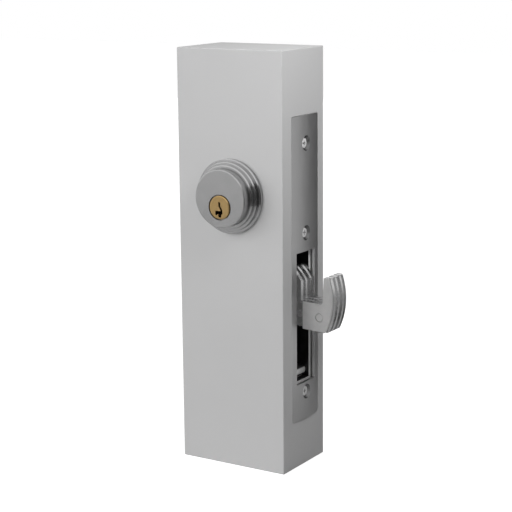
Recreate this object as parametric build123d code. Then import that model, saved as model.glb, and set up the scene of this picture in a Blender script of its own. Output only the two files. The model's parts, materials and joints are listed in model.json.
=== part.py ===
from build123d import *
import math
import os

# Hook lock for a sliding door, in a short display length of door stile.
# Millimetres. Z is up, -Y is the side with the key, +X is the edge with the faceplate.
# The origin is the middle of the stile's bottom face.

# Stile
stile_width = 67.5
stile_depth = 44.5
stile_height = 235.0
stile_edge_round = 0.6

# Where the lock sits in the stile
lock_offset = 1.4
cylinder_backset = 33.0
cylinder_below_case_top = 22.1
hook_pivot_depth = 16.5
hook_pivot_height = 98.0

# Faceplate
plate_width = 28.5
plate_height = 171.5
plate_bottom = 27.3
plate_edge_thickness = 2.5
plate_crown = 1.0
plate_corner_round = 1.6
plate_recess_gap = 0.15
slot_width = 19.8
slot_height = 75.0
slot_bottom = 48.4
slot_edge_thickness = 1.0
slot_relief_margin = 2.4
fixing_screw_inset = 15.4
centre_screw_above_slot = 10.3

# Case
case_foot_above_screw = 4.3
case_top_below_screw = 6.4
case_depth = 49.0
case_wall = 2.2
case_inner_width = 16.6
case_corner_round = 2.0
case_pocket_gap = 0.5
case_window_gap = 0.6
ear_beyond_screw = 6.0
ear_width = 15.0
ear_thickness = 2.5
post_radius = 3.2
post_inset = 3.4
centre_boss_radius = 4.0
centre_boss_depth = 9.5

# Screws and rivets
plate_screw_radius = 2.0
plate_screw_head_radius = 2.8
plate_screw_head_depth = 1.2
plate_screw_sunk = 1.3
countersink_radius = 4.2
fixing_screw_length = 24.0
centre_screw_length = 12.0
recess_length = 3.2
recess_width = 0.8
recess_depth = 1.0
cover_screw_radius = 1.45
cover_screw_head_radius = 2.7
cover_screw_head_depth = 1.2
cover_screw_length = 12.0
rivet_radius = 2.4
screw_clearance = 0.05
seat_clearance = 0.03

# Cylinder
ring_radii = (20.7, 19.2, 17.7)
ring_step_heights = (2.4, 2.1, 2.0)
ring_edge_bevel = 0.5
ring_seat_height = 3.0
head_radius = 15.9
head_protrusion = 11.3
head_edge_bevel = 0.4
ring_head_gap = 0.15
ring_body_gap = 0.35
body_radius = 14.3
body_hole_gap = 0.05
stile_bore_gap = 0.5
plug_drop = 4.7
plug_radius = 6.5
plug_running_gap = 0.05
plug_surround_radius = 7.15
plug_surround_depth = 2.6
plug_proud = 0.5
plug_edge_bevel = 0.45
shell_slide_gap = 0.3
set_screw_radius = 2.0
set_screw_wall_gap = 0.6

# Keyway, measured from the plug's axis
keyway_width = 1.2
keyway_top = 3.0
keyway_bend_x = 0.1
keyway_bend_z = 0.4
keyway_elbow_x = 1.5
keyway_elbow_z = -1.5
keyway_ward_left = -2.5
keyway_ward_right = 2.1
keyway_ward_z = -2.7
keyway_ward_height = 1.8
keyway_foot_left = -0.6
keyway_foot_right = 1.3
keyway_foot_z = -5.3

# Pin tumblers
pin_count = 5
pin_pitch = 4.0
pin_first_depth = 7.0
pin_radius = 1.35
pin_hole_radius = 1.4
key_pin_bottom = 2.9
key_pin_recess = 0.2
driver_pin_gap = 0.25
driver_pin_length = 4.4
spring_length = 5.6
spring_wall = 0.4
stack_gap = 0.1
cap_length = 1.6

# Cam and slide
crank_radius = 14.0
crank_half_swing = 45.0
cam_disc_radius = 8.0
cam_half_width = 2.0
cam_thickness = 3.2
cam_screw_spacing = 3.4
cam_screw_radius = 1.1
cam_screw_head_radius = 2.0
cam_screw_head_height = 1.3
cam_screw_length = 7.0
slide_thickness = 4.2
slide_play = 0.55
slide_end_wall = 2.6
slide_side_wall = 1.6
slide_pin_end_gap = 0.3
slide_back_wall = 2.2
slide_jaw = 3.0
slide_jaw_reach = 11.5
slide_web_gap = 0.6
slide_web = 3.8
slide_neck_width = 11.5
slide_shoulder_drop = 2.0
guide_pin_radius = 2.0
guide_pin_rise = 17.0
guide_slot_gap = 0.1
guide_slot_end_gap = 0.25
slide_top_wall = 2.0

# Detent
detent_thickness = 0.8
detent_width = 8.0
detent_bump_height = 107.0
detent_gap = 0.3
detent_notch_radius = 3.0
detent_notch_depth = 0.8
detent_foot_bottom = 66.0
detent_foot_length = 12.0
detent_tail_length = 6.0
detent_tail_drop = 2.4
detent_rivet_radius = 1.5
detent_rivet_head_radius = 2.4
detent_rivet_head = 0.8

# Hook bolt, measured from its pivot
hub_radius = 21.2
hub_flat_height = 17.3
hub_shoulder_reach = 18.9
hub_front_overlap = 4.0
hub_back_radius = 17.2
arm_bottom_at_hub = -15.6
arm_bottom_at_claw = -18.3
throat_floor = -1.4
throat_floor_at_claw = -2.2
throat_corner_round = 1.8
claw_inner_reach = 31.9
claw_tip_inner_reach = 32.8
claw_outer_reach = 39.4
claw_tip_height = 13.2
claw_heel_round = 2.0
cheek_outer_reach = 38.2
cheek_start = 19.4
middle_plate_thickness = 5.0
side_plate_thickness = 4.3
cheek_thickness = 1.1
plate_bevel_depth = 1.1
plate_bevel_width = 0.85
cheek_edge_bevel = 0.3
rivet_end_bevel = 0.35
middle_plate_back = 5.5
claw_rivet_x = 30.1
claw_rivet_z = -9.4
core_rivet_places = ((17.4, -8.5), (8.5, 10.5))
core_rivet_radius = 2.2
pivot_radius = 4.0
pivot_running_gap = 0.05
bush_radius = 5.5
washer_radius = 8.0
washer_gap = 0.1

# One overrun for all cuts
overrun = 4.0

# Places worked out from the sizes above
face_x = stile_width / 2
front_y = -stile_depth / 2
lock_y = lock_offset
pivot_x = face_x - hook_pivot_depth
pivot_z = hook_pivot_height
cylinder_x = face_x - cylinder_backset
plate_top = plate_bottom + plate_height
fixing_screw_heights = (plate_bottom + fixing_screw_inset, plate_top - fixing_screw_inset)
case_front = face_x - plate_edge_thickness
case_back = case_front - case_depth
case_bottom = fixing_screw_heights[0] + case_foot_above_screw
case_top = fixing_screw_heights[1] - case_top_below_screw
cylinder_z = case_top - cylinder_below_case_top
plug_z = cylinder_z - plug_drop
case_near = lock_y - case_inner_width / 2 - case_wall
case_far = lock_y + case_inner_width / 2 + case_wall
inner_near = lock_y - case_inner_width / 2
inner_far = lock_y + case_inner_width / 2
slot_top = slot_bottom + slot_height
ear_bottom = fixing_screw_heights[0] - ear_beyond_screw
ear_top = fixing_screw_heights[1] + ear_beyond_screw
centre_screw_z = slot_top + centre_screw_above_slot
screw_face = face_x + plate_crown - plate_screw_sunk
crank_drop = crank_radius * math.sin(math.radians(crank_half_swing))
crank_inner = crank_radius * math.cos(math.radians(crank_half_swing))
slide_travel = crank_drop + crank_drop
crank_pin_radius = cam_half_width
cam_near = lock_y - cam_thickness / 2
cam_far = lock_y + cam_thickness / 2
shell_end = lock_y - slide_thickness / 2 - shell_slide_gap
hub_half = middle_plate_thickness / 2 + side_plate_thickness
hook_half = hub_half + cheek_thickness


def slab(outline, low_y, thickness):
    """An outline drawn in X and Z, made solid from low_y towards +Y."""
    return extrude(Plane.XZ.offset(-low_y) * outline, amount=-thickness)


def rod_y(x, z, radius, low_y, high_y):
    """A round rod along Y."""
    return slab(Pos(x, z) * Circle(radius), low_y, high_y - low_y)


def rod_x(y, z, radius, low_x, high_x):
    """A round rod along X."""
    length = high_x - low_x
    return Pos((low_x + high_x) / 2, y, z) * Rot(0, 90, 0) * Cylinder(radius, length)


def block(low_x, high_x, low_y, high_y, low_z, high_z):
    """A box between two corners."""
    size = (high_x - low_x, high_y - low_y, high_z - low_z)
    middle = ((low_x + high_x) / 2, (low_y + high_y) / 2, (low_z + high_z) / 2)
    return Pos(*middle) * Box(*size)


def area(low_x, high_x, low_z, high_z):
    """A rectangle in X and Z."""
    middle = ((low_x + high_x) / 2, (low_z + high_z) / 2)
    return Pos(*middle) * Rectangle(high_x - low_x, high_z - low_z)


def outline_of(points):
    """A closed outline through points in X and Z."""
    return make_face(Polyline(*points, close=True))


def plate_outline(grow):
    """The faceplate's rounded oblong seen along X, grown all round."""
    middle = plate_bottom + plate_height / 2
    oblong = RectangleRounded(
        plate_width + 2 * grow, plate_height + 2 * grow, plate_corner_round + grow
    )
    return Plane.YZ * Pos(lock_y, middle) * oblong


def display_stile():
    """Solid block with the faceplate's recess, the case's pocket and the cylinder's bore."""
    body = block(-face_x, face_x, front_y, -front_y, 0, stile_height)
    body = fillet(body.edges(), stile_edge_round)
    recess_floor = face_x - plate_edge_thickness
    recess = Pos(recess_floor, 0, 0) * extrude(plate_outline(plate_recess_gap), overrun)
    body -= recess
    body -= block(
        case_back - case_pocket_gap,
        face_x + overrun,
        case_near - case_pocket_gap,
        case_far + case_pocket_gap,
        case_bottom - case_pocket_gap,
        case_top + case_pocket_gap,
    )
    body -= block(
        case_front - ear_thickness - case_pocket_gap,
        face_x + overrun,
        lock_y - ear_width / 2 - case_pocket_gap,
        lock_y + ear_width / 2 + case_pocket_gap,
        ear_bottom - case_pocket_gap,
        ear_top + case_pocket_gap,
    )
    bore_radius = body_radius + stile_bore_gap
    body -= rod_y(cylinder_x, cylinder_z, bore_radius, front_y - overrun, case_near)
    for z in fixing_screw_heights:
        hole_radius = plate_screw_radius + screw_clearance
        body -= rod_x(lock_y, z, hole_radius, screw_face - fixing_screw_length, face_x)
    return body


def crowned_bar():
    """The faceplate's section, flat behind and crowned in front, drawn up its height."""
    half = plate_width / 2
    back = face_x - plate_edge_thickness
    front = ThreePointArc(
        (face_x, lock_y - half), (face_x + plate_crown, lock_y), (face_x, lock_y + half)
    )
    rest = Polyline(
        (face_x, lock_y + half), (back, lock_y + half), (back, lock_y - half), (face_x, lock_y - half)
    )
    section = make_face([*front.edges(), *rest.edges()])
    return Pos(0, 0, plate_bottom) * extrude(section, plate_height)


def countersunk_space(z, clearance):
    """The space of a sunk screw's head and shank in the faceplate, with its sloping mouth."""
    cone_depth = plate_screw_head_depth
    cone_middle = screw_face - cone_depth / 2
    wide = plate_screw_head_radius + clearance
    narrow = plate_screw_radius + clearance
    cone = Pos(cone_middle, lock_y, z) * Rot(0, 90, 0) * Cone(narrow, wide, cone_depth)
    mouth_width = countersink_radius - plate_screw_head_radius
    mouth_depth = plate_screw_sunk + plate_screw_sunk
    mouth = Cone(wide, wide + mouth_width + mouth_width, mouth_depth)
    mouth = Pos(screw_face + plate_screw_sunk, lock_y, z) * Rot(0, 90, 0) * mouth
    return cone + mouth + rod_x(lock_y, z, narrow, case_front - overrun, screw_face)


def faceplate():
    """Crowned plate, relieved behind round the hook's slot, with three countersunk holes."""
    corners = Pos(face_x - overrun, 0, 0) * extrude(plate_outline(0), overrun + overrun)
    plate = crowned_bar() & corners
    plate -= block(
        case_front - overrun,
        face_x + overrun,
        lock_y - slot_width / 2,
        lock_y + slot_width / 2,
        slot_bottom,
        slot_top,
    )
    relief_half = slot_width / 2 + slot_relief_margin
    plate -= block(
        case_front - overrun,
        face_x - slot_edge_thickness,
        lock_y - relief_half,
        lock_y + relief_half,
        slot_bottom - slot_relief_margin,
        slot_top + slot_relief_margin,
    )
    for z in (*fixing_screw_heights, centre_screw_z):
        plate -= countersunk_space(z, screw_clearance)
    return plate


def countersunk_screw(z, length):
    """A countersunk screw along X with a cross recess, its head in the faceplate."""
    cone_depth = plate_screw_head_depth
    cone_middle = screw_face - cone_depth / 2
    turned = Rot(0, 90, 0)
    screw = Pos(cone_middle, lock_y, z) * turned * Cone(
        plate_screw_radius, plate_screw_head_radius, cone_depth
    )
    tip = screw_face - length + plate_screw_radius
    screw += rod_x(lock_y, z, plate_screw_radius, tip, screw_face - cone_depth)
    point = Cone(plate_screw_radius / 4, plate_screw_radius, plate_screw_radius)
    screw += Pos(tip - plate_screw_radius / 2, lock_y, z) * turned * point
    for across, upright in ((recess_length, recess_width), (recess_width, recess_length)):
        screw -= block(
            screw_face - recess_depth,
            screw_face + overrun,
            lock_y - across / 2,
            lock_y + across / 2,
            z - upright / 2,
            z + upright / 2,
        )
    return screw


def plate_fixing_screws():
    """The top and bottom screws, which hold the faceplate and the case's ears to the stile."""
    return [countersunk_screw(z, fixing_screw_length) for z in fixing_screw_heights]


def centre_screw():
    """The middle screw, from the faceplate into the case's boss."""
    return countersunk_screw(centre_screw_z, centre_screw_length)


def post_places():
    """Where the four posts for the cover's screws stand in the case."""
    low_x = case_back + case_wall + post_inset
    high_x = case_front - case_wall - post_inset
    low_z = case_bottom + case_wall + post_inset
    high_z = case_top - case_wall - post_inset
    return [(x, z) for x in (low_x, high_x) for z in (low_z, high_z)]


def guide_pin_place():
    """Where the slide's guide pin stands."""
    slot_middle = (crank_radius + crank_inner) / 2
    return pivot_x - slot_middle, pivot_z + guide_pin_rise


def detent_rivet_heights():
    """The heights of the two rivets in the detent spring's foot."""
    quarter = detent_foot_length / 4
    return detent_foot_bottom + quarter, detent_foot_bottom + 3 * quarter


def case_body():
    """Tray with its far wall, rim, front window, ears, posts and screw bosses."""
    shell = block(case_back, case_front, case_near + case_wall, case_far, case_bottom, case_top)
    upright = shell.edges().filter_by(Axis.Y).group_by(Axis.X)[0]
    shell = fillet(upright, case_corner_round)
    shell -= block(
        case_back + case_wall,
        case_front - case_wall,
        case_near,
        inner_far,
        case_bottom + case_wall,
        case_top - case_wall,
    )
    shell -= block(
        case_front - case_wall - case_wall,
        case_front + overrun,
        case_near,
        inner_far,
        slot_bottom + case_window_gap,
        slot_top + case_window_gap,
    )
    shell += block(
        case_front - centre_boss_depth,
        case_front,
        inner_near,
        inner_far,
        centre_screw_z - centre_boss_radius,
        centre_screw_z + centre_boss_radius,
    )
    for low_z, high_z in ((ear_bottom, case_bottom), (case_top, ear_top)):
        shell += block(
            case_front - ear_thickness,
            case_front,
            lock_y - ear_width / 2,
            lock_y + ear_width / 2,
            low_z,
            high_z,
        )
    for x, z in post_places():
        shell += rod_y(x, z, post_radius, inner_near, inner_far)
        hole_radius = cover_screw_radius + screw_clearance
        shell -= rod_y(x, z, hole_radius, case_near, case_near + cover_screw_length)
    for z in (*fixing_screw_heights, centre_screw_z):
        hole_radius = plate_screw_radius + screw_clearance
        shell -= rod_x(lock_y, z, hole_radius, screw_face - centre_screw_length - overrun, face_x)
    shell -= rod_x(set_screw_y(), cylinder_z, set_screw_radius + screw_clearance, cylinder_x, face_x)
    shell -= rod_y(pivot_x, pivot_z, pivot_radius + seat_clearance, inner_near, case_far + overrun)
    guide_x, guide_z = guide_pin_place()
    shell -= rod_y(guide_x, guide_z, guide_pin_radius + seat_clearance, inner_near, case_far + overrun)
    for z in detent_rivet_heights():
        hole_radius = detent_rivet_radius + seat_clearance
        shell -= rod_x(lock_y, z, hole_radius, case_back - overrun, case_back + case_wall + overrun)
    return shell


def case_cover():
    """Near wall of the case, with the cylinder's hole and its sunk screw holes."""
    cover = block(case_back, case_front, case_near, case_near + case_wall, case_bottom, case_top)
    upright = cover.edges().filter_by(Axis.Y).group_by(Axis.X)[0]
    cover = fillet(upright, case_corner_round)
    far = case_near + case_wall + overrun
    near = case_near - overrun
    cover -= rod_y(cylinder_x, cylinder_z, body_radius + body_hole_gap, near, far)
    cover -= rod_y(pivot_x, pivot_z, pivot_radius + seat_clearance, near, far)
    guide_x, guide_z = guide_pin_place()
    cover -= rod_y(guide_x, guide_z, guide_pin_radius + seat_clearance, near, far)
    for x, z in post_places():
        cover -= rod_y(x, z, cover_screw_radius + screw_clearance, near, far)
        head_floor = case_near + cover_screw_head_depth
        cover -= rod_y(x, z, cover_screw_head_radius + screw_clearance, near, head_floor)
    return cover


def cover_screws():
    """Four flat-headed screws through the cover into the case's posts."""
    screws = []
    for x, z in post_places():
        head_floor = case_near + cover_screw_head_depth
        screw = rod_y(x, z, cover_screw_head_radius, case_near, head_floor)
        screw += rod_y(x, z, cover_screw_radius, head_floor, case_near + cover_screw_length - seat_clearance)
        screw -= block(
            x - cover_screw_head_radius,
            x + cover_screw_head_radius,
            case_near,
            case_near + cover_screw_head_depth / 2,
            z - recess_width / 2,
            z + recess_width / 2,
        )
        screws.append(screw)
    return screws


def set_screw_y():
    """The set screw lies beside the slide, against the near wall of the case."""
    return inner_near + set_screw_wall_gap + set_screw_radius


def cylinder_set_screw():
    """Grub screw from the case's front edge to the cylinder's body."""
    tip = cylinder_x + body_radius + stack_gap
    screw = rod_x(set_screw_y(), cylinder_z, set_screw_radius, tip, case_front - seat_clearance)
    screw -= block(
        case_front - recess_depth,
        case_front + overrun,
        set_screw_y() - set_screw_radius,
        set_screw_y() + set_screw_radius,
        cylinder_z - recess_width / 2,
        cylinder_z + recess_width / 2,
    )
    return screw


def cylinder_ring():
    """Trim ring in three steps, bored for the cylinder's head and body."""
    ring = None
    high = front_y
    for radius, height in zip(ring_radii, ring_step_heights):
        step = rod_y(cylinder_x, cylinder_z, radius, high - height, high)
        rim = step.edges().sort_by(Axis.Y)[0]
        step = chamfer(rim, ring_edge_bevel)
        ring = step if ring is None else ring + step
        high -= height
    seat = front_y - ring_seat_height
    ring -= rod_y(cylinder_x, cylinder_z, head_radius + ring_head_gap, high - overrun, seat)
    ring -= rod_y(cylinder_x, cylinder_z, body_radius + ring_body_gap, seat - overrun, front_y + overrun)
    return ring


def pin_depths():
    """Where the pin stacks stand along the plug."""
    head_front = front_y - head_protrusion
    return [head_front + pin_first_depth + pin_pitch * index for index in range(pin_count)]


def rod_z(x, y, radius, low_z, high_z):
    """A round rod along Z."""
    return Pos(x, y, (low_z + high_z) / 2) * Cylinder(radius, high_z - low_z)


def cylinder_shell():
    """Head and round body of the cylinder, bored for the plug and the pin stacks."""
    head_front = front_y - head_protrusion
    head_back = front_y - ring_seat_height
    shell = rod_y(cylinder_x, cylinder_z, head_radius, head_front, head_back)
    shell = chamfer(shell.edges().sort_by(Axis.Y)[0], head_edge_bevel)
    shell += rod_y(cylinder_x, cylinder_z, body_radius, head_back, shell_end)
    bore_radius = plug_radius + plug_running_gap
    shell -= rod_y(cylinder_x, plug_z, bore_radius, head_front - overrun, shell_end + overrun)
    surround_floor = head_front + plug_surround_depth
    shell -= rod_y(cylinder_x, plug_z, plug_surround_radius, head_front - overrun, surround_floor)
    for y in pin_depths():
        shell -= rod_z(cylinder_x, y, pin_hole_radius, plug_z, pin_stack_top() + seat_clearance)
    return shell


def keyway_outline():
    """The crooked keyway seen from the front, in X and Z from the plug's axis."""
    half = keyway_width / 2
    upper = area(keyway_bend_x - half, keyway_bend_x + half, keyway_bend_z, keyway_top)
    elbow = outline_of(
        [
            (keyway_bend_x - half, keyway_bend_z + half),
            (keyway_bend_x + half, keyway_bend_z + half),
            (keyway_elbow_x + half, keyway_elbow_z),
            (keyway_elbow_x + half, keyway_ward_z),
            (keyway_elbow_x - half, keyway_ward_z),
            (keyway_elbow_x - half, keyway_elbow_z),
        ]
    )
    ward_bottom = keyway_ward_z - keyway_ward_height / 2
    ward_top = keyway_ward_z + keyway_ward_height / 2
    ward = area(keyway_ward_left, keyway_ward_right, ward_bottom, ward_top)
    foot = area(keyway_foot_left, keyway_foot_right, keyway_foot_z, keyway_ward_z)
    lip = area(keyway_ward_left, keyway_ward_left + keyway_width, ward_bottom - half, ward_bottom)
    return Pos(cylinder_x, plug_z) * (upper + elbow + ward + foot + lip)


def key_plug():
    """Brass plug with its keyway, pin chambers and the cam screws' holes."""
    plug_front = front_y - head_protrusion - plug_proud
    plug = rod_y(cylinder_x, plug_z, plug_radius, plug_front, cam_near)
    plug = chamfer(plug.edges().sort_by(Axis.Y)[0], plug_edge_bevel)
    keyway_end = pin_depths()[-1] + pin_hole_radius + pin_hole_radius
    plug -= slab(keyway_outline(), plug_front - overrun, keyway_end - plug_front + overrun)
    for y in pin_depths():
        plug -= rod_z(cylinder_x, y, pin_hole_radius, plug_z, plug_z + plug_radius + overrun)
    for x in cam_screw_places():
        hole_start = cam_far - cam_screw_length - seat_clearance
        plug -= rod_y(x, plug_z, cam_screw_radius + screw_clearance, hole_start, cam_near + overrun)
    return plug


def key_pins():
    """The lower pins, inside the plug."""
    top = plug_z + plug_radius - key_pin_recess
    return [rod_z(cylinder_x, y, pin_radius, plug_z + key_pin_bottom, top) for y in pin_depths()]


def driver_bottom():
    """The height of the driver pins' lower ends."""
    return plug_z + plug_radius + driver_pin_gap


def spring_bottom():
    """The height of the pin springs' lower ends."""
    return driver_bottom() + driver_pin_length


def pin_stack_top():
    """The height of the top of the chamber caps."""
    return spring_bottom() + spring_length + cap_length


def driver_pins():
    """The upper pins, in the shell above the plug."""
    high = spring_bottom()
    return [rod_z(cylinder_x, y, pin_radius, driver_bottom(), high) for y in pin_depths()]


def pin_springs():
    """The springs above the driver pins, as plain sleeves, closed in the shell."""
    low = spring_bottom()
    high = low + spring_length
    springs = []
    for y in pin_depths():
        sleeve = rod_z(cylinder_x, y, pin_radius, low, high)
        sleeve -= rod_z(cylinder_x, y, pin_radius - spring_wall, low - overrun, high + overrun)
        springs.append(sleeve)
    return springs


def chamber_caps():
    """The plugs that close the pin chambers."""
    low = spring_bottom() + spring_length
    return [rod_z(cylinder_x, y, pin_radius, low, low + cap_length) for y in pin_depths()]


def cam_screw_places():
    """The cam's two screws, one each side of the plug's axis."""
    return cylinder_x - cam_screw_spacing, cylinder_x + cam_screw_spacing


def cylinder_cam():
    """Round cam with an arm whose end lies in the slide's notch."""
    arm = Pos(crank_radius / 2, 0) * Rectangle(crank_radius, 2 * cam_half_width)
    arm += Pos(crank_radius, 0) * Circle(cam_half_width)
    outline = Circle(cam_disc_radius) + Rot(0, 0, -crank_half_swing) * arm
    cam = slab(Pos(cylinder_x, plug_z) * outline, cam_near, cam_thickness)
    for x in cam_screw_places():
        cam -= rod_y(x, plug_z, cam_screw_radius + screw_clearance, cam_near - overrun, cam_far + overrun)
    return cam


def cam_screws():
    """The two screws that hold the cam to the plug."""
    screws = []
    for x in cam_screw_places():
        screw = rod_y(x, plug_z, cam_screw_radius, cam_far - cam_screw_length, cam_far)
        screw += rod_y(x, plug_z, cam_screw_head_radius, cam_far, cam_far + cam_screw_head_height)
        screw -= block(
            x - cam_screw_head_radius,
            x + cam_screw_head_radius,
            cam_far + cam_screw_head_height / 2,
            cam_far + cam_screw_head_height + overrun,
            plug_z - recess_width / 4,
            plug_z + recess_width / 4,
        )
        screws.append(screw)
    return screws


def slide_edges():
    """The slide's left and right edges and its bottom, beside the hook's hub."""
    left = pivot_x - crank_radius - crank_pin_radius - slide_pin_end_gap - slide_back_wall
    right = pivot_x - crank_inner + crank_pin_radius + slide_pin_end_gap + slide_side_wall
    bottom = pivot_z - crank_drop - crank_pin_radius - slide_play - slide_end_wall
    return left, right, bottom


def slide_outline():
    """The slide: a broad foot round the crank pin, a neck, and two jaws round the cam."""
    left, right, bottom = slide_edges()
    guide_z = pivot_z + guide_pin_rise
    foot_top = guide_z + guide_pin_radius + guide_slot_end_gap + slide_top_wall
    jaw_left = cylinder_x + slide_jaw_reach
    web_left = cylinder_x + crank_radius + cam_half_width + slide_web_gap
    web_right = web_left + slide_web
    neck_left = web_right - slide_neck_width
    notch_half = cam_half_width + slide_play
    notch_middle = plug_z - crank_drop
    low_jaw = notch_middle - notch_half - slide_jaw
    high_jaw = notch_middle + notch_half + slide_jaw
    outline = area(left, right, bottom, foot_top)
    outline += outline_of(
        [
            (neck_left, foot_top - slide_shoulder_drop),
            (right, foot_top - slide_shoulder_drop),
            (web_right, foot_top),
            (web_right, high_jaw),
            (jaw_left, high_jaw),
            (jaw_left, low_jaw),
            (neck_left, low_jaw - slide_jaw),
        ]
    )
    outline -= area(jaw_left - overrun, web_left, notch_middle - notch_half, notch_middle + notch_half)
    return outline


def drive_slide():
    """Slide plate with the crank pin's slot, the guide slot and two detent notches."""
    left = slide_edges()[0]
    outline = slide_outline()
    slot_reach = crank_pin_radius + slide_pin_end_gap
    slot_half = crank_pin_radius + slide_play
    pin_z = pivot_z - crank_drop
    outline -= area(
        pivot_x - crank_radius - slot_reach,
        pivot_x - crank_inner + slot_reach,
        pin_z - slot_half,
        pin_z + slot_half,
    )
    guide_x, guide_z = guide_pin_place()
    guide_half = guide_pin_radius + guide_slot_gap
    guide_end = guide_pin_radius + guide_slot_end_gap
    guide_low = guide_z - slide_travel - guide_end
    outline -= area(guide_x - guide_half, guide_x + guide_half, guide_low, guide_z + guide_end)
    notch_x = left - detent_notch_radius + detent_notch_depth
    for z in (detent_bump_height, detent_bump_height - slide_travel):
        outline -= Pos(notch_x, z) * Circle(detent_notch_radius)
    return slab(outline, lock_y - slide_thickness / 2, slide_thickness)


def guide_pin():
    """Fixed pin across the case, in the slide's upright slot."""
    x, z = guide_pin_place()
    return rod_y(x, z, guide_pin_radius, case_near, case_far)


def detent_spring():
    """Bowed leaf with its foot on the case's back wall and a bump at the slide's notch."""
    wall = case_back + case_wall
    tip = slide_edges()[0] - detent_gap
    foot_top = detent_foot_bottom + detent_foot_length
    half_bump = detent_notch_radius / 2
    route = [
        (wall, detent_foot_bottom),
        (wall, foot_top),
        (tip - detent_thickness - half_bump, detent_bump_height - 2 * half_bump),
        (tip - detent_thickness, detent_bump_height),
        (tip - detent_thickness - detent_tail_drop, detent_bump_height + detent_tail_length),
    ]
    front = [(x + detent_thickness, z) for x, z in reversed(route)]
    leaf = slab(outline_of(route + front), lock_y - detent_width / 2, detent_width)
    for z in detent_rivet_heights():
        leaf -= rod_x(lock_y, z, detent_rivet_radius + seat_clearance, wall - overrun, wall + overrun)
    return leaf


def detent_rivets():
    """The two rivets that hold the detent spring to the back wall."""
    wall = case_back + case_wall
    rivets = []
    for z in detent_rivet_heights():
        face = wall + detent_thickness
        rivet = rod_x(lock_y, z, detent_rivet_radius, case_back, face)
        rivet += rod_x(lock_y, z, detent_rivet_head_radius, face, face + detent_rivet_head)
        rivets.append(rivet)
    return rivets


def claw_outline(reach, start):
    """Arm and claw from start outwards, inside a circle about the pivot."""
    tip_z = pivot_z + claw_tip_height
    low_left = pivot_z + arm_bottom_at_hub
    low_right = pivot_z + arm_bottom_at_claw
    limit = outline_of(
        [
            (pivot_x + start, low_left + (low_right - low_left) * start / reach),
            (pivot_x + reach, low_right),
            (pivot_x + reach, tip_z),
            (pivot_x + start, tip_z),
        ]
    )
    claw = limit & (Pos(pivot_x, pivot_z) * Circle(reach))
    throat = outline_of(
        [
            (pivot_x - overrun, pivot_z + throat_floor),
            (pivot_x + hub_shoulder_reach, pivot_z + throat_floor),
            (pivot_x + claw_inner_reach, pivot_z + throat_floor_at_claw),
            (pivot_x + claw_tip_inner_reach, tip_z),
            (pivot_x + claw_tip_inner_reach, tip_z + overrun),
            (pivot_x - overrun, tip_z + overrun),
        ]
    )
    return claw - throat


def rounded_claw(reach, start):
    """The claw with its heel and the throat's corner rounded."""
    claw = claw_outline(reach, start)
    heel = claw.vertices().sort_by(Axis.Y)[0]
    claw = fillet(heel, claw_heel_round)
    corner_x = pivot_x + claw_inner_reach
    corner_z = pivot_z + throat_floor_at_claw
    corner = claw.vertices().sort_by_distance((corner_x, corner_z))[0]
    return fillet(corner, throat_corner_round)


def hub_outline():
    """The hub: a large front sector with a flat top, and a smaller back."""
    front = Circle(hub_radius) & area(-hub_front_overlap, hub_shoulder_reach, throat_floor, hub_flat_height)
    back = Circle(hub_back_radius) & area(-hub_back_radius, hub_back_radius, arm_bottom_at_hub, hub_flat_height)
    return Pos(pivot_x, pivot_z) * (front + back)


def hook_plate(low_y, thickness, is_middle):
    """One lamination of the hook, bevelled round its far side and bored for pins and rivets."""
    outline = hub_outline() + rounded_claw(claw_outer_reach, 0)
    if is_middle:
        outline -= area(
            pivot_x - hub_radius, pivot_x - middle_plate_back, pivot_z - hub_radius, pivot_z + hub_radius
        )
        outline -= area(pivot_x - hub_radius, pivot_x, pivot_z - hub_radius, pivot_z)
    plate = slab(outline, low_y, thickness)
    far_side = plate.faces().sort_by(Axis.Y)[-1]
    plate = chamfer(far_side.edges(), plate_bevel_depth, plate_bevel_width, reference=far_side)
    high_y = low_y + thickness
    plate -= rod_y(pivot_x, pivot_z, bush_radius + seat_clearance, low_y - overrun, high_y + overrun)
    for x, z in core_rivet_places:
        hole_radius = core_rivet_radius + seat_clearance
        plate -= rod_y(pivot_x + x, pivot_z + z, hole_radius, low_y - overrun, high_y + overrun)
    plate -= claw_rivet_hole(low_y, high_y)
    if not is_middle:
        pin_x, pin_z = crank_pin_place()
        plate -= rod_y(pin_x, pin_z, crank_pin_radius + seat_clearance, low_y - overrun, high_y + overrun)
    return plate


def claw_rivet_hole(low_y, high_y):
    """The claw rivet's hole through one plate."""
    hole_radius = rivet_radius + seat_clearance
    return rod_y(
        pivot_x + claw_rivet_x, pivot_z + claw_rivet_z, hole_radius, low_y - overrun, high_y + overrun
    )


def crank_pin_place():
    """Where the crank pin stands on the hub, with the hook out."""
    return pivot_x - crank_inner, pivot_z - crank_drop


def hook_cheek(low_y, outer_is_near):
    """Outer cheek of the arm and claw, bevelled on its outer side."""
    cheek = slab(rounded_claw(cheek_outer_reach, cheek_start), low_y, cheek_thickness)
    faces = cheek.faces().sort_by(Axis.Y)
    side = faces[0] if outer_is_near else faces[-1]
    cheek = chamfer(side.edges(), cheek_edge_bevel)
    return cheek - claw_rivet_hole(low_y, low_y + cheek_thickness)


def claw_rivet():
    """Rivet through the cheeks and laminations, flush with the cheeks, its ends bevelled."""
    rivet = rod_y(
        pivot_x + claw_rivet_x, pivot_z + claw_rivet_z, rivet_radius, lock_y - hook_half, lock_y + hook_half
    )
    rims = rivet.edges().sort_by(Axis.Y)
    return chamfer([rims[0], rims[-1]], rivet_end_bevel)


def core_rivets():
    """Rivets through the three laminations."""
    low = lock_y - hub_half
    high = lock_y + hub_half
    return [rod_y(pivot_x + x, pivot_z + z, core_rivet_radius, low, high) for x, z in core_rivet_places]


def crank_pin():
    """Pin across the hub, through the slide's slot."""
    x, z = crank_pin_place()
    return rod_y(x, z, crank_pin_radius, lock_y - hub_half, lock_y + hub_half)


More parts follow.
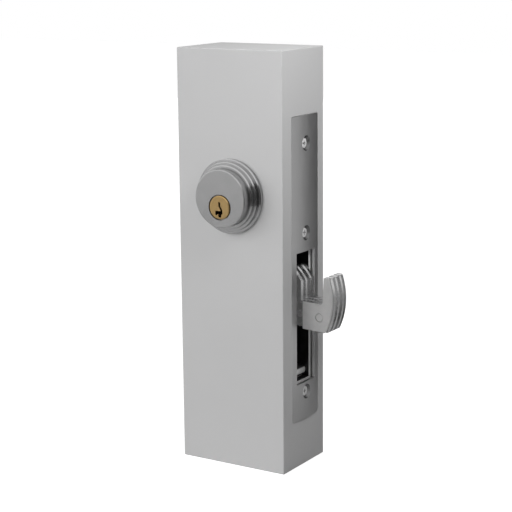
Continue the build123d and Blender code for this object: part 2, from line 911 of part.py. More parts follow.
def pivot_bush():
    """Bush in the hub, running on the pivot pin."""
    low = lock_y - hub_half
    high = lock_y + hub_half
    bush = rod_y(pivot_x, pivot_z, bush_radius, low, high)
    return bush - rod_y(pivot_x, pivot_z, pivot_radius + pivot_running_gap, low - overrun, high + overrun)


def pivot_pin():
    """The hook's shaft, fixed in both walls of the case."""
    return rod_y(pivot_x, pivot_z, pivot_radius, case_near, case_far)


def pivot_washers():
    """Washers between the hub and the case's walls."""
    washers = []
    for low, high in ((inner_near, lock_y - hub_half - washer_gap), (lock_y + hub_half + washer_gap, inner_far)):
        washer = rod_y(pivot_x, pivot_z, washer_radius, low, high)
        washer -= rod_y(pivot_x, pivot_z, pivot_radius + seat_clearance, low - overrun, high + overrun)
        washers.append(washer)
    return washers


def all_pieces():
    """Every piece by its name."""
    middle_low = lock_y - middle_plate_thickness / 2
    middle_high = lock_y + middle_plate_thickness / 2
    return {
        "display_stile": display_stile(),
        "faceplate": faceplate(),
        "plate_fixing_screws": plate_fixing_screws(),
        "centre_screw": centre_screw(),
        "case_body": case_body(),
        "case_cover": case_cover(),
        "cover_screws": cover_screws(),
        "cylinder_set_screw": cylinder_set_screw(),
        "cylinder_ring": cylinder_ring(),
        "cylinder_shell": cylinder_shell(),
        "key_plug": key_plug(),
        "key_pins": key_pins(),
        "driver_pins": driver_pins(),
        "pin_springs": pin_springs(),
        "chamber_caps": chamber_caps(),
        "cylinder_cam": cylinder_cam(),
        "cam_screws": cam_screws(),
        "drive_slide": drive_slide(),
        "guide_pin": guide_pin(),
        "detent_spring": detent_spring(),
        "detent_rivets": detent_rivets(),
        "hook_plate_front": hook_plate(lock_y - hub_half, side_plate_thickness, False),
        "hook_plate_middle": hook_plate(middle_low, middle_plate_thickness, True),
        "hook_plate_rear": hook_plate(middle_high, side_plate_thickness, False),
        "hook_cheek_front": hook_cheek(lock_y - hook_half, True),
        "hook_cheek_rear": hook_cheek(lock_y + hub_half, False),
        "claw_rivet": claw_rivet(),
        "core_rivets": core_rivets(),
        "crank_pin": crank_pin(),
        "pivot_bush": pivot_bush(),
        "pivot_pin": pivot_pin(),
        "pivot_washers": pivot_washers(),
    }


os.makedirs("parts", exist_ok=True)
for name, piece in all_pieces().items():
    solids = piece if isinstance(piece, list) else [piece]
    shape = Compound(children=[solid for item in solids for solid in item.solids()])
    export_step(shape, f"parts/{name}.step")
    print(name, len(shape.solids()), round(shape.volume, 1))
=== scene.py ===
import bmesh
import bpy
import json
import math
from mathutils import Matrix, Vector


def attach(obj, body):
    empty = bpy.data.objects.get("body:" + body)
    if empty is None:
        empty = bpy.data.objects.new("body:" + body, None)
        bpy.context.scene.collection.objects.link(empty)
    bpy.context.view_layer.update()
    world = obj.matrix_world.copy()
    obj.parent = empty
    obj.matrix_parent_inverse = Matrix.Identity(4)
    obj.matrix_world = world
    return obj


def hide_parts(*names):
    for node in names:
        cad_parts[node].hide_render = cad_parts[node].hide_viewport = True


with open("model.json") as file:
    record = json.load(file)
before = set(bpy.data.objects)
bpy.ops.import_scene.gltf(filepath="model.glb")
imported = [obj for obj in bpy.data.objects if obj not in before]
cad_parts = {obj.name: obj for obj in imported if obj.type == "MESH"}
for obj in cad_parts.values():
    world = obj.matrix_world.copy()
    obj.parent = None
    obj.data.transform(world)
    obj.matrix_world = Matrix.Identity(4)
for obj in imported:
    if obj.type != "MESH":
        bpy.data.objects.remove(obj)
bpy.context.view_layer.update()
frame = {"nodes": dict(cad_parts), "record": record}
nodes = frame["nodes"]
millimetre = 0.001
weldGap = 1e-6  # metres: points nearer than this are the same point
print("Frame loaded,", len(nodes), "pieces")


# shader nodes are added, linked and placed through these
def addNode(tree, kind, settings=None, inputs=None):
    node = tree.nodes.new(kind)
    for name, value in (settings or {}).items():
        setattr(node, name, value)
    for name, value in (inputs or {}).items():
        node.inputs[name].default_value = value
    return node


def newMaterial(name, look):
    material = bpy.data.materials.new(name)
    material.use_nodes = True
    tree = material.node_tree
    shader = tree.nodes["Principled BSDF"]
    shader.inputs["Metallic"].default_value = look["metallic"]
    coordinates = addNode(tree, "ShaderNodeTexCoord")
    return material, tree, shader, coordinates.outputs["Object"]


def placedPattern(tree, place, centre, stretch):
    # moves the pattern's middle to a point in metres, then stretches it
    mapping = addNode(tree, "ShaderNodeMapping", {"vector_type": "POINT"})
    mapping.inputs["Scale"].default_value = stretch
    mapping.inputs["Location"].default_value = [-c * s for c, s in zip(centre, stretch)]
    tree.links.new(place, mapping.inputs["Vector"])
    return mapping.outputs["Vector"]


def noiseOn(tree, vector, scale, detail=3.0, roughness=0.55):
    amounts = {"Scale": scale, "Detail": detail, "Roughness": roughness}
    noise = addNode(tree, "ShaderNodeTexNoise", None, amounts)
    tree.links.new(vector, noise.inputs["Vector"])
    return noise.outputs["Fac"]


def rangeOf(tree, value, low, high, fromLow=0.3, fromHigh=0.7):
    # the usual spread of a pattern, 0.3 to 0.7, becomes low to high
    limits = {"From Min": fromLow, "From Max": fromHigh, "To Min": low, "To Max": high}
    spread = addNode(tree, "ShaderNodeMapRange", None, limits)
    tree.links.new(value, spread.inputs["Value"])
    return spread.outputs["Result"]


# the Mix node's sockets go by number, because several have the same name
mixInputs = {"factor": 0, "numbers": (2, 3), "colours": (6, 7)}
mixOutputs = {"number": 0, "colour": 2}


def mixedColour(tree, factor, *ends):
    # each end is a colour, or another node's output
    mix = addNode(tree, "ShaderNodeMix", {"data_type": "RGBA"})
    tree.links.new(factor, mix.inputs[mixInputs["factor"]])
    for socket, end in zip(mixInputs["colours"], ends):
        if isinstance(end, tuple):
            mix.inputs[socket].default_value = (*end, 1)
        else:
            tree.links.new(end, mix.inputs[socket])
    return mix.outputs[mixOutputs["colour"]]


def averageOf(tree, first, second, share):
    # share is how much of the second there is
    mix = addNode(tree, "ShaderNodeMix", {"data_type": "FLOAT"})
    mix.inputs[mixInputs["factor"]].default_value = share
    for socket, value in zip(mixInputs["numbers"], (first, second)):
        tree.links.new(value, mix.inputs[socket])
    return mix.outputs[mixOutputs["number"]]


def addBump(tree, shader, height, distance):
    bump = addNode(tree, "ShaderNodeBump", None, {"Strength": 1.0, "Distance": distance})
    tree.links.new(height, bump.inputs["Height"])
    tree.links.new(bump.outputs["Normal"], shader.inputs["Normal"])


# how nearly a face looks one way: none of the change below the first figure, all of it above the second
faceTurns = {"cut": (0.8, 0.9), "slanted": (0.3, 0.5), "flat": (0.88, 0.96)}


def paintedSideTone(tree, shader, colour, look):
    # faces that look one way get a colour and metallic of their own, lighter or darker than the rest: painted
    # light or painted shade on that side of a part
    cut = look["cut"]
    facing = addNode(tree, "ShaderNodeVectorMath", {"operation": "DOT_PRODUCT"})
    facing.inputs[1].default_value = cut["towards"]
    tree.links.new(addNode(tree, "ShaderNodeTexCoord").outputs["Normal"], facing.inputs[0])
    alignment = facing.outputs["Value"]
    metal = rangeOf(tree, alignment, look["metallic"], cut["metallic"], *faceTurns["cut"])
    tree.links.new(metal, shader.inputs["Metallic"])
    return mixedColour(tree, rangeOf(tree, alignment, 0, 1, *faceTurns["cut"]), colour, cut["colour"])


def paintedSunkShade(tree, colour, look):
    # the slanted wall of a countersink is painted darker than the face round it: painted shade in the recess
    facing = addNode(tree, "ShaderNodeSeparateXYZ")
    tree.links.new(addNode(tree, "ShaderNodeTexCoord").outputs["Normal"], facing.inputs["Vector"])
    outward = facing.outputs["X"]
    both = addNode(tree, "ShaderNodeMath", {"operation": "MULTIPLY"})
    tree.links.new(rangeOf(tree, outward, 0, 1, *faceTurns["slanted"]), both.inputs[0])
    tree.links.new(rangeOf(tree, outward, 1, 0, *faceTurns["flat"]), both.inputs[1])
    return mixedColour(tree, both.outputs["Value"], colour, look["sunk"])


def colourFrom(tree, shader, pattern, look):
    # dark to light over the pattern, then painted light or painted shade on the faces that look one way, and
    # painted shade on countersink walls
    colour = mixedColour(tree, rangeOf(tree, pattern, 0, 1), look["dark"], look["light"])
    if "cut" in look:
        colour = paintedSideTone(tree, shader, colour, look)
    if "sunk" in look:
        colour = paintedSunkShade(tree, colour, look)
    tree.links.new(colour, shader.inputs["Base Color"])


def roughFrom(tree, shader, pattern, look):
    tree.links.new(rangeOf(tree, pattern, look["roughLow"], look["roughHigh"]), shader.inputs["Roughness"])


# one function for each kind of surface on the lock
def paintFinish(name, look):
    # sprayed paint: faint mottling, and the fine peel of the spray
    material, tree, shader, place = newMaterial(name, look)
    mottle = noiseOn(tree, place, look["mottleScale"], detail=4.0)
    peel = noiseOn(tree, place, look["peelScale"], detail=2.0)
    tree.links.new(mixedColour(tree, mottle, look["dark"], look["light"]), shader.inputs["Base Color"])
    roughFrom(tree, shader, peel, look)
    addBump(tree, shader, peel, look["peelHeight"])
    return material


def brushedFinish(name, look):
    # fine parallel scratches along one direction, over slow cloudy changes
    material, tree, shader, place = newMaterial(name, look)
    along = placedPattern(tree, place, (0, 0, 0), look["stretch"])
    scratches = noiseOn(tree, along, 1.0, detail=5.0, roughness=0.7)
    clouds = noiseOn(tree, place, look["cloudScale"])
    colourFrom(tree, shader, averageOf(tree, scratches, clouds, look["cloudShare"]), look)
    roughFrom(tree, shader, scratches, look)
    addBump(tree, shader, scratches, look["scratchHeight"])
    return material


def turnedFinish(name, look):
    # the rings that a lathe tool leaves round an axis along Y
    material, tree, shader, place = newMaterial(name, look)
    rings = addNode(
        tree, "ShaderNodeTexWave", {"wave_type": "RINGS", "rings_direction": "Y", "wave_profile": "SIN"},
        {"Scale": look["ringScale"], "Distortion": look["ringWobble"], "Detail": 3.0, "Detail Scale": 6.0},
    )
    tree.links.new(placedPattern(tree, place, look["centre"], (1, 1, 1)), rings.inputs["Vector"])
    clouds = noiseOn(tree, place, look["cloudScale"])
    tone = averageOf(tree, rings.outputs["Fac"], clouds, look["cloudShare"])
    colourFrom(tree, shader, tone, look)
    roughFrom(tree, shader, tone, look)
    addBump(tree, shader, rings.outputs["Fac"], look["ringHeight"])
    return material


def castFinish(name, look):
    # plated or plain stock with small pits and slow changes of tone
    material, tree, shader, place = newMaterial(name, look)
    clouds = noiseOn(tree, place, look["cloudScale"], detail=4.0)
    grain = noiseOn(tree, place, look["grainScale"])
    colourFrom(tree, shader, clouds, look)
    roughFrom(tree, shader, grain, look)
    addBump(tree, shader, grain, look["grainHeight"])
    return material


# points, in metres, on the two axes that the lathe rings of the cylinder go round
plugAxis = (0.00075, 0, 0.1502)
headAxis = (0.00075, 0, 0.1549)

stilePaint = paintFinish("stilePaint", {
    "metallic": 0.0, "dark": (0.48, 0.48, 0.482), "light": (0.515, 0.515, 0.517),
    "mottleScale": 18, "peelScale": 1400, "peelHeight": 0.00002, "roughLow": 0.5, "roughHigh": 0.62,
})
plateSteel = brushedFinish("plateSteel", {
    "metallic": 1.0, "dark": (0.48, 0.48, 0.482), "light": (0.57, 0.57, 0.572),
    # faces looking towards -Y, such as the slot's far wall, are bright and unmetallic: a painted highlight
    "cut": {"towards": (0, -1, 0), "metallic": 0.0, "colour": (0.75, 0.75, 0.75)},
    # the countersink walls are dark: painted shade in the recesses
    "sunk": (0.19, 0.19, 0.19),
    "stretch": (3500, 3500, 60), "cloudScale": 60, "cloudShare": 0.35,
    "scratchHeight": 0.000003, "roughLow": 0.36, "roughHigh": 0.48,
})
screwSteel = turnedFinish("screwSteel", {
    "metallic": 1.0, "dark": (0.5, 0.5, 0.5), "light": (0.68, 0.68, 0.68), "centre": (0, 0, 0),
    # the head faces, looking along +X, are bright and nearly unmetallic: a painted highlight
    "cut": {"towards": (1, 0, 0), "metallic": 0.2, "colour": (0.8, 0.8, 0.8)},
    "ringScale": 300, "ringWobble": 1.5, "ringHeight": 0.000003, "cloudScale": 300, "cloudShare": 0.8,
    "roughLow": 0.28, "roughHigh": 0.42,
})
ringChrome = turnedFinish("ringChrome", {
    "metallic": 1.0, "dark": (0.46, 0.46, 0.462), "light": (0.55, 0.55, 0.552), "centre": headAxis,
    "ringScale": 900, "ringWobble": 0.6, "ringHeight": 0.000002, "cloudScale": 90, "cloudShare": 0.5,
    "roughLow": 0.14, "roughHigh": 0.24,
})
headChrome = turnedFinish("headChrome", {
    "metallic": 1.0, "dark": (0.45, 0.45, 0.452), "light": (0.53, 0.53, 0.532), "centre": headAxis,
    "ringScale": 1300, "ringWobble": 0.4, "ringHeight": 0.0000015, "cloudScale": 70, "cloudShare": 0.5,
    "roughLow": 0.25, "roughHigh": 0.36,
})
plugBrass = turnedFinish("plugBrass", {
    "metallic": 1.0, "dark": (0.49, 0.325, 0.135), "light": (0.63, 0.445, 0.21), "centre": plugAxis,
    "ringScale": 1500, "ringWobble": 0.7, "ringHeight": 0.000002, "cloudScale": 260, "cloudShare": 0.5,
    "roughLow": 0.25, "roughHigh": 0.4,
})
hookSteel = castFinish("hookSteel", {
    "metallic": 1.0, "dark": (0.48, 0.48, 0.482), "light": (0.58, 0.58, 0.582),
    # the near faces, looking towards -Y, are darker and less metallic: painted shade
    "cut": {"towards": (0, -1, 0), "metallic": 0.5, "colour": (0.42, 0.42, 0.42)},
    "cloudScale": 160, "grainScale": 1300, "grainHeight": 0.000001, "roughLow": 0.24, "roughHigh": 0.28,
})
cheekNickel = castFinish("cheekNickel", {
    "metallic": 1.0, "dark": (0.6, 0.6, 0.6), "light": (0.69, 0.685, 0.68),
    "cloudScale": 130, "grainScale": 1100, "grainHeight": 0.000001, "roughLow": 0.4, "roughHigh": 0.46,
})
caseZinc = castFinish("caseZinc", {
    "metallic": 1.0, "dark": (0.05, 0.05, 0.052), "light": (0.11, 0.11, 0.114),
    # the front edges of the walls, looking along +X, are bright and unmetallic: a painted highlight
    "cut": {"towards": (1, 0, 0), "metallic": 0.0, "colour": (0.85, 0.85, 0.85)},
    "cloudScale": 90, "grainScale": 1000, "grainHeight": 0.000002, "roughLow": 0.34, "roughHigh": 0.48,
})
slideSteel = brushedFinish("slideSteel", {
    "metallic": 1.0, "dark": (0.3, 0.3, 0.305), "light": (0.44, 0.44, 0.445),
    "stretch": (2500, 2500, 80), "cloudScale": 120, "cloudShare": 0.4,
    "scratchHeight": 0.000004, "roughLow": 0.3, "roughHigh": 0.45,
})
camSteel = castFinish("camSteel", {
    "metallic": 1.0, "dark": (0.36, 0.36, 0.36), "light": (0.5, 0.5, 0.5),
    "cloudScale": 240, "grainScale": 1500, "grainHeight": 0.000002, "roughLow": 0.3, "roughHigh": 0.42,
})
pinSteel = castFinish("pinSteel", {
    "metallic": 1.0, "dark": (0.42, 0.42, 0.425), "light": (0.55, 0.55, 0.555),
    # faces looking towards -Y are darker and less metallic: painted shade
    "cut": {"towards": (0, -1, 0), "metallic": 0.4, "colour": (0.45, 0.45, 0.45)},
    "cloudScale": 300, "grainScale": 1500, "grainHeight": 0.000001, "roughLow": 0.2, "roughHigh": 0.3,
})
springSteel = castFinish("springSteel", {
    "metallic": 1.0, "dark": (0.32, 0.32, 0.33), "light": (0.48, 0.48, 0.49),
    "cloudScale": 350, "grainScale": 1500, "grainHeight": 0.000001, "roughLow": 0.22, "roughHigh": 0.34,
})
slotMaterials = {
    "stile_paint": stilePaint, "plate_steel": plateSteel, "screw_steel": screwSteel,
    "ring_chrome": ringChrome, "head_chrome": headChrome, "plug_brass": plugBrass,
    "case_zinc": caseZinc, "slide_steel": slideSteel, "cam_steel": camSteel,
    "hook_steel": hookSteel, "cheek_nickel": cheekNickel,
    "pin_steel": pinSteel, "spring_steel": springSteel,
}
for subpart in frame["record"]["subparts"]:
    mesh = nodes[subpart["node"]].data
    mesh.materials.clear()
    mesh.materials.append(slotMaterials[subpart["material_slot"]])
print("Finishes made:", len(slotMaterials))


sharpAngle = math.radians(35)  # edges that turn further than this stay crisp


def addObject(name, data):
    holder = bpy.data.objects.new(name, data)
    bpy.context.scene.collection.objects.link(holder)
    return holder


def addPiece(name, bm, body, slotName, node):
    # a new piece gets its shading and finish, rides on its body and stands in for a node
    bmesh.ops.recalc_face_normals(bm, faces=bm.faces)
    for face in bm.faces:
        face.smooth = True
    for edge in bm.edges:
        edge.smooth = len(edge.link_faces) == 2 and edge.calc_face_angle(0) < sharpAngle
    mesh = bpy.data.meshes.new(name)
    bm.to_mesh(mesh)
    bm.free()
    mesh.materials.append(slotMaterials[slotName])
    piece = addObject(name, mesh)
    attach(piece, body)
    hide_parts(node)


def solidBoxes(node):
    # the box of each separate solid in a node, from the lowest up, and in one row from the front
    bm = bmesh.new()
    bm.from_mesh(nodes[node].data)
    bmesh.ops.remove_doubles(bm, verts=bm.verts, dist=weldGap)
    left = set(bm.verts)
    boxes = []
    while left:
        group = [left.pop()]
        for vert in group:
            for edge in vert.link_edges:
                other = edge.other_vert(vert)
                if other in left:
                    left.remove(other)
                    group.append(other)
        places = [v.co for v in group]
        boxes.append((Vector(map(min, zip(*places))), Vector(map(max, zip(*places)))))
    bm.free()
    return sorted(boxes, key=lambda pair: (round(pair[0].z, 4), pair[0].y))


def turnedBar(bm, profile, steps):
    # a profile of (radius, distance) pairs, turned round Z, with a point at each end
    points = [bm.verts.new((radius, 0, along)) for radius, along in profile]
    line = [bm.edges.new(pair) for pair in zip(points, points[1:])]
    bmesh.ops.spin(
        bm, geom=points + line, cent=(0, 0, 0), axis=(0, 0, 1), dvec=(0, 0, 0), angle=math.tau,
        steps=steps, use_merge=True,
    )
    bmesh.ops.remove_doubles(bm, verts=bm.verts, dist=weldGap)


def windingOn(bm, section, pitch, turns, stepsPerTurn):
    # a closed section of (radius, distance) pairs, swept along a helix round Z, with its ends closed
    before = set(bm.verts)
    corners = [bm.verts.new((radius, 0, along)) for radius, along in section]
    loop = [bm.edges.new((corners[i - 1], corners[i])) for i in range(len(corners))]
    bmesh.ops.spin(
        bm, geom=corners + loop, cent=(0, 0, 0), axis=(0, 0, 1), dvec=(0, 0, pitch / stepsPerTurn),
        angle=math.tau * turns, steps=round(turns * stepsPerTurn), use_merge=False,
    )
    ends = [e for e in bm.edges if e.is_boundary and e.verts[0] not in before]
    bmesh.ops.holes_fill(bm, edges=ends, sides=0)


# the faceplate's screws, in millimetres, get the threads and crossed recesses that the solids leave out
screwForm = {
    "lengths": {"plate_fixing_screws": 24.0, "centre_screw": 12.0},
    "headRadius": 2.76, "headDepth": 1.2, "edgeRound": 0.12, "edgeDrop": 0.3, "steps": 48,
    "shankRadius": 1.55, "shoulder": 0.4, "tipRadius": 0.2, "tipLength": 1.4,
    "threadRadius": 2.0, "threadPitch": 1.4, "threadRoot": 0.1, "threadSteps": 24,
    "threadHalf": 0.32, "threadStart": 1.6, "bareLength": 2.4,
    "slotLength": 3.2, "slotWidth": 0.8, "slotDepth": 1.0, "slotTaper": 0.6,
}


def crossCut(bm, form):
    # the crossed recess: two slots, narrower at their floors, sunk into the head's flat face
    shape = bpy.data.meshes.new("screwBlank")
    bm.to_mesh(shape)
    blank = addObject("screwBlank", shape)
    length, width, depth = (form[k] * millimetre for k in ("slotLength", "slotWidth", "slotDepth"))
    cutters = []
    for across, upright in ((length, width), (width, length)):
        cutter = bmesh.new()
        bmesh.ops.create_cube(cutter, size=1)
        bmesh.ops.scale(cutter, vec=(across, upright, 2 * depth), verts=cutter.verts)
        floorCorners = {v for f in cutter.faces if f.normal.z < -0.5 for v in f.verts}
        bmesh.ops.scale(cutter, vec=(form["slotTaper"], form["slotTaper"], 1), verts=list(floorCorners))
        mesh = bpy.data.meshes.new("crossCutter")
        cutter.to_mesh(mesh)
        cutter.free()
        cutters.append(addObject("crossCutter", mesh))
        cut = blank.modifiers.new("cut", "BOOLEAN")
        cut.operation = "DIFFERENCE"
        cut.solver = "EXACT"
        cut.object = cutters[-1]
    view = bpy.context.evaluated_depsgraph_get()
    finished = bpy.data.meshes.new_from_object(blank.evaluated_get(view))
    bm.clear()
    bm.from_mesh(finished)
    for spare in [blank, *cutters]:
        bpy.data.objects.remove(spare)
    bpy.data.meshes.remove(finished)


def makeSunkScrew(name, node, index, form):
    # a sunk head with a crossed recess, and a threaded shank, made along Z and laid along X
    length = form["lengths"][node]
    head, depth, rim, shank = (form[k] for k in ("headRadius", "headDepth", "edgeRound", "shankRadius"))
    outline = (
        (0, 0), (head - 2 * rim, 0), (head - rim, -form["edgeDrop"] * rim), (head, -rim),
        (form["threadRadius"], -depth),
        (shank, -depth - form["shoulder"]), (shank, -length + form["tipLength"]),
        (form["tipRadius"], -length), (0, -length),
    )
    pitch, root, low = form["threadPitch"], shank - form["threadRoot"], -length + form["threadStart"]
    half = pitch * form["threadHalf"]
    ridge = ((root, low - half), (form["threadRadius"], low), (root, low + half))
    turns = (length - depth - form["bareLength"]) / pitch
    bm = bmesh.new()
    turnedBar(bm, [(r * millimetre, z * millimetre) for r, z in outline], form["steps"])
    crossCut(bm, form)
    section = [(r * millimetre, z * millimetre) for r, z in ridge]
    windingOn(bm, section, pitch * millimetre, turns, form["threadSteps"])
    quarter = Matrix.Rotation(math.radians(90), 3, "Y")
    bmesh.ops.rotate(bm, cent=(0, 0, 0), matrix=quarter, verts=bm.verts)
    low, high = solidBoxes(node)[index]
    bmesh.ops.translate(bm, verts=bm.verts, vec=(high.x, (low.y + high.y) / 2, (low.z + high.z) / 2))
    addPiece(name, bm, "stile", "screw_steel", node)


makeSunkScrew("lowerPlateScrew", "plate_fixing_screws", 0, screwForm)
makeSunkScrew("upperPlateScrew", "plate_fixing_screws", 1, screwForm)
makeSunkScrew("middlePlateScrew", "centre_screw", 0, screwForm)
print("Plate screws made")


# the springs over the driver pins, in millimetres, are coils here and sleeves in the solids
springForm = {"wireRadius": 0.22, "outerRadius": 1.3, "turns": 8.5, "sides": 8, "stepsPerTurn": 20}


def makePinSprings(node, form):
    wire, middle = form["wireRadius"], form["outerRadius"] - form["wireRadius"]
    angles = [math.tau * i / form["sides"] for i in range(form["sides"])]
    section = [((middle + wire * math.cos(a)) * millimetre, (wire * math.sin(a)) * millimetre) for a in angles]
    for number, (low, high) in enumerate(solidBoxes(node), 1):
        bm = bmesh.new()
        room = (high.z - low.z) - 2 * wire * millimetre
        windingOn(bm, section, room / form["turns"], form["turns"], form["stepsPerTurn"])
        foot = ((low.x + high.x) / 2, (low.y + high.y) / 2, low.z + wire * millimetre)
        bmesh.ops.translate(bm, verts=bm.verts, vec=foot)
        addPiece(f"pinSpring{number}", bm, "stile", "spring_steel", node)


makePinSprings("pin_springs", springForm)
print("Springs made")


# edgeBevel is in millimetres, triangles within joinAngle degrees of each other become one face,
# and flatFacing is how squarely a face looks forwards to count as the plate's flat
hookPlateForm = {"edgeBevel": 0.95, "joinAngle": 0.5, "flatFacing": 0.99}


def loopsOf(edges):
    # edges that share corners are gathered into separate loops
    left = set(edges)
    loops = []
    while left:
        loop = [left.pop()]
        for edge in loop:
            for vert in edge.verts:
                for other in vert.link_edges:
                    if other in left:
                        left.remove(other)
                        loop.append(other)
        loops.append(loop)
    return loops


def spreadOf(loop):
    along = [v.co.x for e in loop for v in e.verts]
    return max(along) - min(along)


def makeHookPlate(name, node, form):
    # a punched plate: the solid has its far edge rolled over, and the near edge is rolled here,
    # so that a groove shows between two plates
    bm = bmesh.new()
    bm.from_mesh(nodes[node].data)
    bmesh.ops.remove_doubles(bm, verts=bm.verts, dist=weldGap)
    bmesh.ops.dissolve_limit(bm, angle_limit=math.radians(form["joinAngle"]), verts=bm.verts, edges=bm.edges)
    near = min(v.co.y for v in bm.verts)
    rim = [
        e for e in bm.edges
        if len(e.link_faces) == 2 and all(abs(v.co.y - near) < weldGap for v in e.verts)
        and sum(f.normal.y < -form["flatFacing"] for f in e.link_faces) == 1
    ]
    bmesh.ops.bevel(
        bm, geom=max(loopsOf(rim), key=spreadOf), offset=form["edgeBevel"] * millimetre,
        offset_type="OFFSET", segments=1, profile=0.5, affect="EDGES", material=-1, clamp_overlap=False,
    )
    addPiece(name, bm, "hook", "hook_steel", node)


makeHookPlate("nearHookPlate", "hook_plate_front", hookPlateForm)
makeHookPlate("middleHookPlate", "hook_plate_middle", hookPlateForm)
makeHookPlate("farHookPlate", "hook_plate_rear", hookPlateForm)
print("Hook plates made")


# the studio round the lock: a floor, a background, lamps, cards and the camera
def addSheet(name, width, height, turn=None):
    # a flat sheet with its middle at the origin, tipped up where a turn is given
    bm = bmesh.new()
    bmesh.ops.create_grid(bm, x_segments=1, y_segments=1, size=0.5)
    bmesh.ops.scale(bm, vec=(width, height, 1), verts=bm.verts)
    if turn is not None:
        bmesh.ops.rotate(bm, cent=(0, 0, 0), matrix=turn, verts=bm.verts)
    mesh = bpy.data.meshes.new(name)
    bm.to_mesh(mesh)
    bm.free()
    material = bpy.data.materials.new(name + "Finish")
    material.use_nodes = True
    mesh.materials.append(material)
    return addObject(name, mesh), material.node_tree


floorSettings = {"size": 6.0, "colour": (0.56, 0.56, 0.56, 1), "roughness": 0.9, "glow": 0.84}


def makeFloor(settings):
    # the camera sees the floor nearly white, and the glow lights nothing else
    floor, tree = addSheet("floor", settings["size"], settings["size"])
    shader = tree.nodes["Principled BSDF"]
    shader.inputs["Base Color"].default_value = settings["colour"]
    shader.inputs["Roughness"].default_value = settings["roughness"]
    shader.inputs["Emission Color"].default_value = (1, 1, 1, 1)
    path = addNode(tree, "ShaderNodeLightPath")
    glow = addNode(tree, "ShaderNodeMath", {"operation": "MULTIPLY"})
    glow.inputs[1].default_value = settings["glow"]
    tree.links.new(path.outputs["Is Camera Ray"], glow.inputs[0])
    tree.links.new(glow.outputs[0], shader.inputs["Emission Strength"])


backgroundSettings = {"fill": 0.15, "shown": 1.0}


def makeBackground(settings):
    # white to the camera and in the metal, and a dim fill on everything else
    world = bpy.data.worlds.new("studio")
    bpy.context.scene.world = world
    world.use_nodes = True
    tree = world.node_tree
    background = tree.nodes["Background"]
    background.inputs["Color"].default_value = (1, 1, 1, 1)
    path = addNode(tree, "ShaderNodeLightPath")
    seen = path.outputs["Is Camera Ray"]
    for ray in ("Is Glossy Ray", "Is Transmission Ray"):
        largest = addNode(tree, "ShaderNodeMath", {"operation": "MAXIMUM"})
        tree.links.new(seen, largest.inputs[0])
        tree.links.new(path.outputs[ray], largest.inputs[1])
        seen = largest.outputs[0]
    strength = rangeOf(tree, seen, settings["fill"], settings["shown"], 0.0, 1.0)
    tree.links.new(strength, background.inputs["Strength"])


lampSettings = {
    "keyLamp": {"place": (-1.1, -1.6, 0.35), "aim": (0, 0, 0.12), "size": 2.6, "power": 69},
    "sideLamp": {"place": (0.2, -0.06, 0.36), "aim": (0.034, 0, 0.2), "size": 0.15, "power": 0.6},
    "backLamp": {"place": (-0.7, 1.8, 0.4), "aim": (0, 0, 0.12), "size": 1.5, "power": 14},
}


def makeLamps(settings):
    # the metal mirrors the background and the cards, and no lamp
    for name, lamp in settings.items():
        data = bpy.data.lights.new(name, "AREA")
        data.shape = "SQUARE"
        data.size = lamp["size"]
        data.energy = lamp["power"]
        holder = addObject(name, data)
        holder.visible_glossy = False
        place = Vector(lamp["place"])
        turn = (place - Vector(lamp["aim"])).to_track_quat("Z", "Y")
        holder.matrix_world = Matrix.Translation(place) @ turn.to_matrix().to_4x4()


# cards that only the metal mirrors: each is graded from dark to bright over the stretch given as edge
cardSettings = {
    "backFlag": {
        "place": (0.1, 0.15, 0.16), "turn": 66, "lean": 0, "width": 0.22, "height": 0.32,
        "edge": (0.02, 0.09), "dark": 0.02, "bright": 1.0,
    },
    "frontFlag": {
        "place": (0.089, -0.1, 0.155), "turn": 135, "lean": 0, "width": 0.09, "height": 0.1,
        "edge": (-0.05, 0.05), "dark": 0.03, "bright": 0.06,
    },
    "floorFlag": {
        "place": (0.11, 0.07, 0.0015), "turn": 66, "lean": 90, "width": 0.22, "height": 0.14,
        "edge": (0.02, 0.09), "dark": 0.2, "bright": 1.0,
    },
}


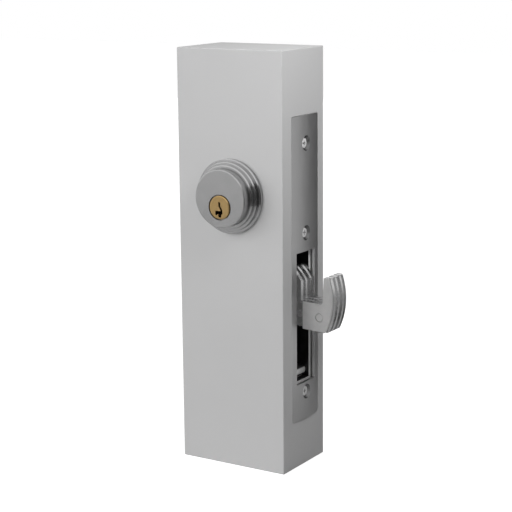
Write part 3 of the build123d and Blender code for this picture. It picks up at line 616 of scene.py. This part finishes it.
def makeCard(name, settings):
    tipped = Matrix.Rotation(math.radians(90 - settings["lean"]), 3, "X")
    card, tree = addSheet(name, settings["width"], settings["height"], tipped)
    card.location = settings["place"]
    card.rotation_euler = (0, 0, math.radians(settings["turn"] - 90))
    card.visible_camera = card.visible_diffuse = card.visible_shadow = card.visible_transmission = False
    shader = tree.nodes["Principled BSDF"]
    shader.inputs["Base Color"].default_value = (0, 0, 0, 1)
    shader.inputs["Specular IOR Level"].default_value = 0
    shader.inputs["Emission Color"].default_value = (1, 1, 1, 1)
    across = addNode(tree, "ShaderNodeSeparateXYZ")
    tree.links.new(addNode(tree, "ShaderNodeTexCoord").outputs["Object"], across.inputs["Vector"])
    grade = rangeOf(tree, across.outputs["X"], settings["dark"], settings["bright"], *settings["edge"])
    tree.links.new(grade, shader.inputs["Emission Strength"])


cameraSettings = {
    "around": 32.18, "above": 11.83, "tilt": -0.53, "distance": 0.8138, "target": (0.01665, -0.02225, 0.1230),
    "lens": 104.72, "sensor": 36.0, "nearest": 0.05, "furthest": 20,
}


def makeCamera(settings):
    # stands round from the front and up by the two angles, in degrees, and tilts about its line of sight
    around, above, tilt = (math.radians(settings[k]) for k in ("around", "above", "tilt"))
    back = Vector((
        math.sin(around) * math.cos(above), -math.cos(around) * math.cos(above), math.sin(above),
    ))
    level = Vector((math.cos(around), math.sin(around), 0))
    upright = back.cross(level)
    right = math.cos(tilt) * level + math.sin(tilt) * upright
    up = math.cos(tilt) * upright - math.sin(tilt) * level
    data = bpy.data.cameras.new("camera")
    data.lens = settings["lens"]
    data.sensor_width = settings["sensor"]
    data.clip_start = settings["nearest"]
    data.clip_end = settings["furthest"]
    camera = addObject("camera", data)
    place = Vector(settings["target"]) + back * settings["distance"]
    camera.matrix_world = Matrix.Translation(place) @ Matrix((right, up, back)).transposed().to_4x4()
    bpy.context.scene.camera = camera


makeFloor(floorSettings)
makeBackground(backgroundSettings)
makeLamps(lampSettings)
for cardName, cardForm in cardSettings.items():
    makeCard(cardName, cardForm)
makeCamera(cameraSettings)
bpy.context.scene.view_settings.view_transform = "Standard"
print("Studio made")
